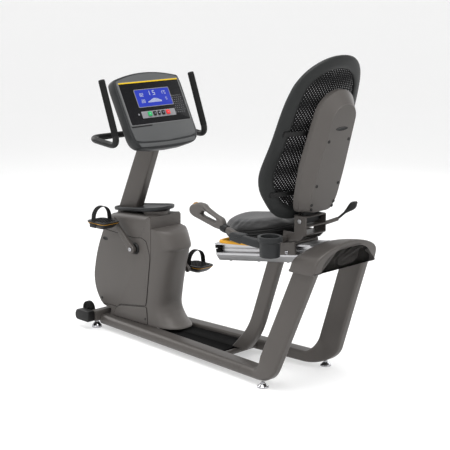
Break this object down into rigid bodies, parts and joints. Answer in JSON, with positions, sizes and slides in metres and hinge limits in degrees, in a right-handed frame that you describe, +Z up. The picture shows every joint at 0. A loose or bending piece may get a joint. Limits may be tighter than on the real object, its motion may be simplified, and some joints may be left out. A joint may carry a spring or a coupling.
{
  "type": "exercise bike",
  "caption": "Recumbent exercise bike with a sliding mesh-back seat, step-through frame, strapped pedals and a tilted console on a mast.",
  "frame": {"origin": "middle of the footprint, on the floor", "axes": "+X forward from the seat to the console, +Y to the rider's left, +Z up"},
  "size_m": [1.593, 0.591, 1.417],
  "materials": {
    "gunmetal": "satin powder coat",
    "shroud_plastic": "fine grained moulding",
    "dark_grey": "fine grained moulding",
    "black_plastic": "grained",
    "rubber": "moulded",
    "rail_aluminium": "brushed",
    "steel": "plain",
    "chrome": "polished",
    "amber": "gloss",
    "cushion_vinyl": "padded vinyl",
    "back_weave": "open weave",
    "panel_gloss": "gloss",
    "screen": "gloss",
    "green_key": "satin",
    "red_key": "satin",
    "black_key": "satin",
    "cast_iron": "machined rim"
  },
  "bodies": {
    "frame": {"front_stabilizer": "gunmetal", "stabilizer_cap_left": "shroud_plastic", "stabilizer_cap_right": "shroud_plastic", "side_rail_left": "gunmetal", "side_rail_right": "gunmetal", "rear_leg_left": "gunmetal", "rear_leg_right": "gunmetal", "rear_yoke": "gunmetal", "step_deck": "black_plastic", "cross_tube": "steel", "centre_post": "gunmetal", "seat_rail": "rail_aluminium", "shroud_left": "shroud_plastic", "shroud_right": "shroud_plastic", "shroud_spine": "shroud_plastic", "accessory_tray": "dark_grey", "console_mast": "gunmetal", "drive_frame": "steel", "drive_belt": "rubber", "console_housing": "dark_grey", "console_panel": "panel_gloss", "console_display": "screen", "console_handlebar": "black_plastic"},
    "seat": {"seat_carriage": "gunmetal", "seat_pan": "black_plastic", "seat_cushion": "cushion_vinyl", "seat_handlebar": "gunmetal", "hand_grip_left": "shroud_plastic", "hand_grip_right": "shroud_plastic", "cup_holder": "dark_grey", "back_bracket": "gunmetal"},
    "backrest": {"back_frame": "steel", "back_shell": "dark_grey", "back_mesh": "back_weave", "back_cover": "shroud_plastic"},
    "crank": {"crank_axle": "steel", "drive_pulley": "steel", "crank_arm_left": "gunmetal", "crank_arm_right": "gunmetal"},
    "left_pedal": {"pedal_left": "black_plastic", "pedal_strap_left": "rubber"},
    "right_pedal": {"pedal_right": "black_plastic", "pedal_strap_right": "rubber"},
    "flywheel": {"flywheel": "cast_iron"},
    "brake": {"brake_magnet": "steel"},
    "adjust_bar": {"adjust_bar": "amber"},
    "recline_lever": {"recline_lever": "black_plastic"},
    "grip_button_left": {"grip_button_left": "amber"},
    "grip_button_right": {"grip_button_right": "amber"},
    "key_start": {"key_start": "green_key"},
    "key_down": {"key_down": "black_key"},
    "key_enter": {"key_enter": "black_key"},
    "key_up": {"key_up": "black_key"},
    "key_stop": {"key_stop": "red_key"},
    "foot_rear_left": {"levelling_foot_rear_left": "chrome"},
    "foot_rear_right": {"levelling_foot_rear_right": "chrome"},
    "foot_front_left": {"levelling_foot_front_left": "chrome"},
    "foot_front_right": {"levelling_foot_front_right": "chrome"},
    "wheel_left": {"transport_wheel_left": "rubber"},
    "wheel_right": {"transport_wheel_right": "rubber"}
  },
  "joints": [
    {"name": "seat_slide", "type": "slide", "parent": "frame", "child": "seat", "axis": [0.9893, 0, -0.1461], "range_m": [-0.05, 0.25]},
    {"name": "backrest_recline", "type": "hinge", "parent": "seat", "child": "backrest", "pos_m": [-0.568, 0, 0.716], "axis": [0, -1, 0], "range_deg": [-5, 10]},
    {"name": "crank_turn", "type": "hinge", "parent": "frame", "child": "crank", "pos_m": [0.4455, 0, 0.4385], "axis": [0, 1, 0], "continuous": true},
    {"name": "pedal_turn_left", "type": "hinge", "parent": "crank", "child": "left_pedal", "pos_m": [0.56613, 0.196, 0.55829], "axis": [0, 1, 0], "continuous": true},
    {"name": "pedal_turn_right", "type": "hinge", "parent": "crank", "child": "right_pedal", "pos_m": [0.32487, -0.196, 0.31871], "axis": [0, 1, 0], "continuous": true},
    {"name": "flywheel_turn", "type": "hinge", "parent": "frame", "child": "flywheel", "pos_m": [0.612, 0, 0.222], "axis": [0, 1, 0], "continuous": true},
    {"name": "brake_swing", "type": "hinge", "parent": "frame", "child": "brake", "pos_m": [0.648, -0.078, 0.37], "axis": [0, -1, 0], "range_deg": [0, 8]},
    {"name": "adjust_bar_lift", "type": "hinge", "parent": "seat", "child": "adjust_bar", "pos_m": [-0.36, 0, 0.602], "axis": [0, -1, 0], "range_deg": [0, 2], "stiffness_Nm_per_rad": 20, "springref_deg": -5.73},
    {"name": "recline_lever_pull", "type": "hinge", "parent": "seat", "child": "recline_lever", "pos_m": [-0.59, -0.067, 0.692], "axis": [0, -1, 0], "range_deg": [0, 15], "stiffness_Nm_per_rad": 2, "springref_deg": -5.73},
    {"name": "press_start", "type": "slide", "parent": "frame", "child": "key_start", "axis": [0.8888, 0, -0.4583], "range_m": [0, 0.0012], "stiffness_N_per_m": 200, "springref_m": -0.0003},
    {"name": "press_down", "type": "slide", "parent": "frame", "child": "key_down", "axis": [0.8888, 0, -0.4583], "range_m": [0, 0.0012], "stiffness_N_per_m": 200, "springref_m": -0.0003},
    {"name": "press_enter", "type": "slide", "parent": "frame", "child": "key_enter", "axis": [0.8888, 0, -0.4583], "range_m": [0, 0.0012], "stiffness_N_per_m": 200, "springref_m": -0.0003},
    {"name": "press_up", "type": "slide", "parent": "frame", "child": "key_up", "axis": [0.8888, 0, -0.4583], "range_m": [0, 0.0012], "stiffness_N_per_m": 200, "springref_m": -0.0003},
    {"name": "press_stop", "type": "slide", "parent": "frame", "child": "key_stop", "axis": [0.8888, 0, -0.4583], "range_m": [0, 0.0012], "stiffness_N_per_m": 200, "springref_m": -0.0003},
    {"name": "grip_press_left", "type": "slide", "parent": "seat", "child": "grip_button_left", "axis": [-0.3584, 0, -0.9336], "range_m": [0, 0.001], "stiffness_N_per_m": 200, "springref_m": -0.0003},
    {"name": "grip_press_right", "type": "slide", "parent": "seat", "child": "grip_button_right", "axis": [-0.3584, 0, -0.9336], "range_m": [0, 0.001], "stiffness_N_per_m": 200, "springref_m": -0.0003},
    {"name": "foot_screw_rear_left", "type": "hinge", "parent": "frame", "child": "foot_rear_left", "pos_m": [-0.494, 0.2065, 0], "axis": [0, 0, 1], "continuous": true},
    {"name": "foot_screw_rear_right", "type": "hinge", "parent": "frame", "child": "foot_rear_right", "pos_m": [-0.494, -0.2065, 0], "axis": [0, 0, 1], "continuous": true},
    {"name": "foot_screw_front_left", "type": "hinge", "parent": "frame", "child": "foot_front_left", "pos_m": [0.7056, 0.1348, 0], "axis": [0, 0, 1], "continuous": true},
    {"name": "foot_screw_front_right", "type": "hinge", "parent": "frame", "child": "foot_front_right", "pos_m": [0.7056, -0.1348, 0], "axis": [0, 0, 1], "continuous": true},
    {"name": "wheel_turn_left", "type": "hinge", "parent": "frame", "child": "wheel_left", "pos_m": [0.7605, 0.138, 0.0875], "axis": [0, 1, 0], "continuous": true},
    {"name": "wheel_turn_right", "type": "hinge", "parent": "frame", "child": "wheel_right", "pos_m": [0.7605, -0.138, 0.0875], "axis": [0, 1, 0], "continuous": true}
  ],
  "couplings": [
    {"joint": "flywheel_turn", "follows": "crank_turn", "ratio": 6.1333}
  ]
}
